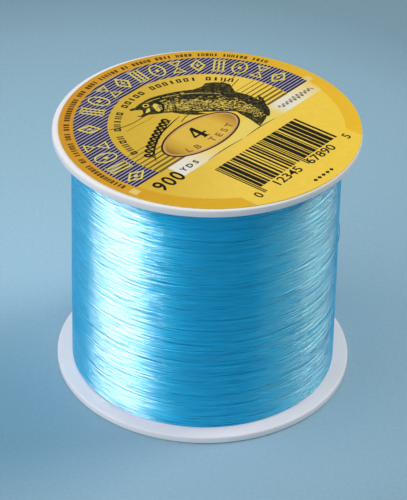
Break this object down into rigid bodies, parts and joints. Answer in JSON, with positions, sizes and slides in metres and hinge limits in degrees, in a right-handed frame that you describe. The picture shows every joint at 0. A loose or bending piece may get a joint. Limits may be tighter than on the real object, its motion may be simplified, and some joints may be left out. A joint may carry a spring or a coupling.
{
  "type": "fishing line spool",
  "caption": "Two-flanged plastic filler spool wound full of translucent blue fishing line, with a round paper label over one flange.",
  "frame": {"origin": "centre of the lower flange's outer face, the face that the spool stands on", "axes": "+Z is the spool's axis, from the lower flange to the labelled flange; the pictured side faces -Y and +X is to its right"},
  "size_m": [0.0636, 0.0636, 0.0581],
  "materials": {
    "white_plastic": "moulded, semi-gloss",
    "barrel_plastic": "moulded, satin",
    "blue_line": "translucent nylon monofilament, glossy",
    "clear_tape": "clear adhesive tape",
    "label_paper": "printed, lightly coated"
  },
  "bodies": {
    "root": {"lower_flange": "white_plastic", "upper_flange": "white_plastic", "barrel": "barrel_plastic", "line_winding": "blue_line", "start_tape": "clear_tape", "tail_tape": "clear_tape", "front_label": "label_paper"}
  },
  "joints": []
}
